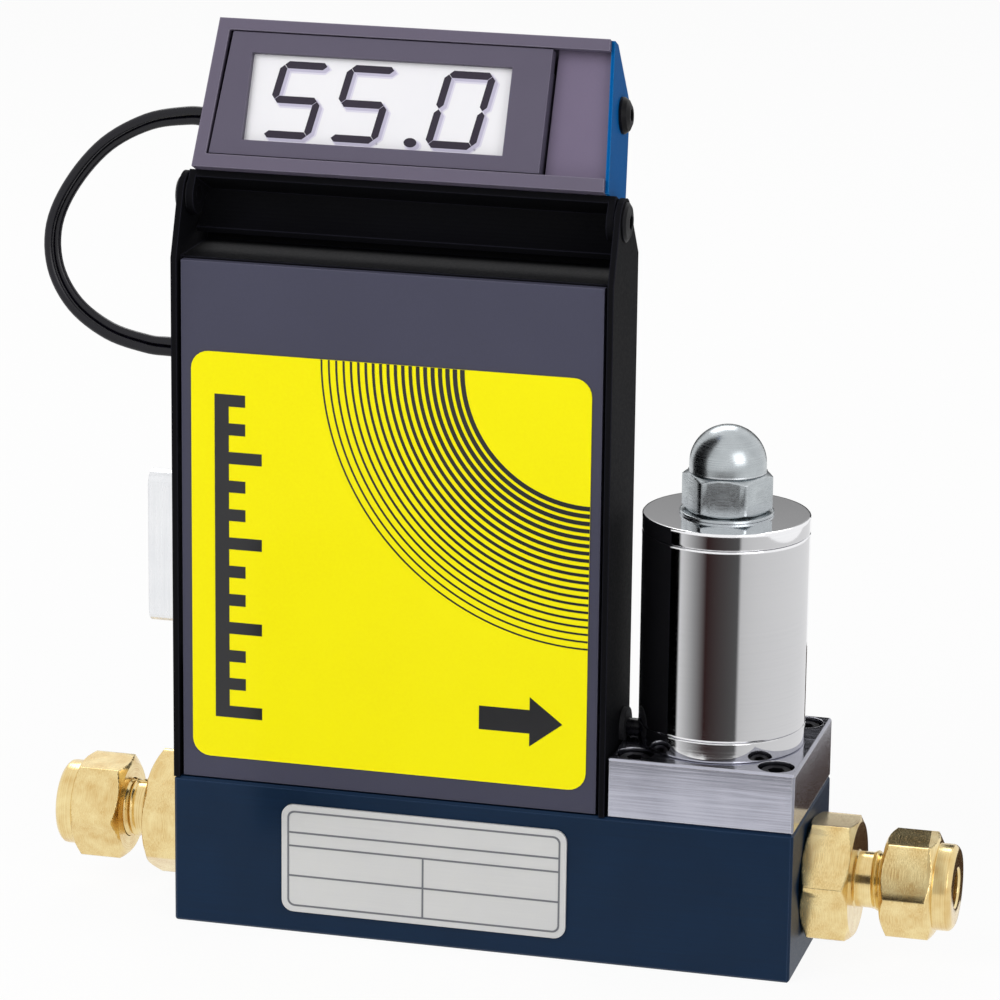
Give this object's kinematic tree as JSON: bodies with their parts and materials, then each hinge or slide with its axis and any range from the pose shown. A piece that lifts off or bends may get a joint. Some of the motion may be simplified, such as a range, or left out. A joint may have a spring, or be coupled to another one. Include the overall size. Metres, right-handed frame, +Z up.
{
  "type": "mass flow controller",
  "caption": "Thermal gas flow controller: dark flow block with brass tube fittings, tall sensor housing with tilting digital readout, and a polished solenoid valve.",
  "frame": {"origin": "centre of the flow block's bottom face", "axes": "+X from the gas inlet to the outlet, +Y from the front label to the back, +Z up"},
  "size_m": [0.1544, 0.0323, 0.1508],
  "materials": {
    "navy_anodised": "satin blue-black anodised",
    "black_sheet": "satin black paint",
    "front_grey": "matt dark grey paint",
    "brass": "machined, bright",
    "stainless": "brushed and machined",
    "polished_steel": "polished",
    "zinc": "satin zinc plate",
    "black_screw": "black oxide",
    "rubber": "matt black",
    "label_yellow": "glossy printed film",
    "print_black": "printed ink",
    "plate_grey": "satin printed foil",
    "case_grey": "satin grey-purple",
    "panel_grey": "matt grey-purple",
    "bezel": "matt dark grey",
    "lcd": "reflective liquid-crystal glass",
    "lcd_ink": "dark liquid-crystal strokes",
    "blue": "blue anodised",
    "board": "solder-resist green",
    "chip": "moulded black",
    "nylon": "natural nylon",
    "copper": "enamelled copper",
    "tin": "tin plate"
  },
  "bodies": {
    "base": {"flow_block": "navy_anodised", "inlet_screen": "stainless", "flow_restrictor": "stainless", "inlet_fitting_body": "brass", "outlet_fitting_body": "brass", "fitting_o_rings": "rubber", "inlet_nut": "brass", "outlet_nut": "brass", "front_ferrules": "brass", "back_ferrules": "brass", "nameplate": "plate_grey", "nameplate_print": "print_black", "housing_wrap": "black_sheet", "housing_screws": "zinc", "front_cover": "front_grey", "cover_screws": "black_screw", "front_label": "label_yellow", "label_print": "print_black", "main_board": "board", "board_components": "chip", "board_spacers": "stainless", "sensor_block": "stainless", "sensor_tube": "stainless", "sensor_windings": "copper", "sensor_cover": "nylon", "sensor_screws": "zinc", "passage_o_rings": "rubber", "d_sub_shell": "tin", "d_sub_insulator": "chip", "d_sub_pins": "brass", "d_sub_screws": "zinc", "housing_grommet": "rubber", "coil_lead": "rubber", "coil_lead_grommet": "rubber", "valve_base": "stainless", "valve_base_screws": "black_screw", "valve_seat": "stainless", "plunger_spring": "stainless", "core_tube": "stainless", "solenoid_lower_disc": "polished_steel", "solenoid_shell": "polished_steel", "solenoid_upper_disc": "polished_steel", "coil_bobbin": "chip", "coil_winding": "copper", "nut_washer": "zinc", "acorn_nut": "zinc"},
    "readout": {"tilt_bracket": "black_sheet", "friction_washers": "nylon", "pivot_screws": "black_screw", "readout_case": "case_grey", "readout_end_plate": "blue", "case_screw": "black_screw", "blank_panel": "panel_grey", "meter_bezel": "bezel", "lcd_glass": "lcd", "lcd_digits": "lcd_ink", "readout_board": "board", "readout_grommet": "rubber", "readout_cable": "rubber"},
    "plunger": {"valve_plunger": "stainless"}
  },
  "joints": [
    {"name": "readout_tilt", "type": "hinge", "parent": "base", "child": "readout", "pos_m": [-0.01565, -0.00847, 0.1228], "axis": [1, 0, 0], "range_deg": [-48, 20]},
    {"name": "plunger_lift", "type": "slide", "parent": "base", "child": "plunger", "axis": [0, 0, 1], "range_m": [0, 0.0005], "stiffness_N_per_m": 800, "springref_m": -0.002, "deforming": ["plunger_spring"]}
  ]
}
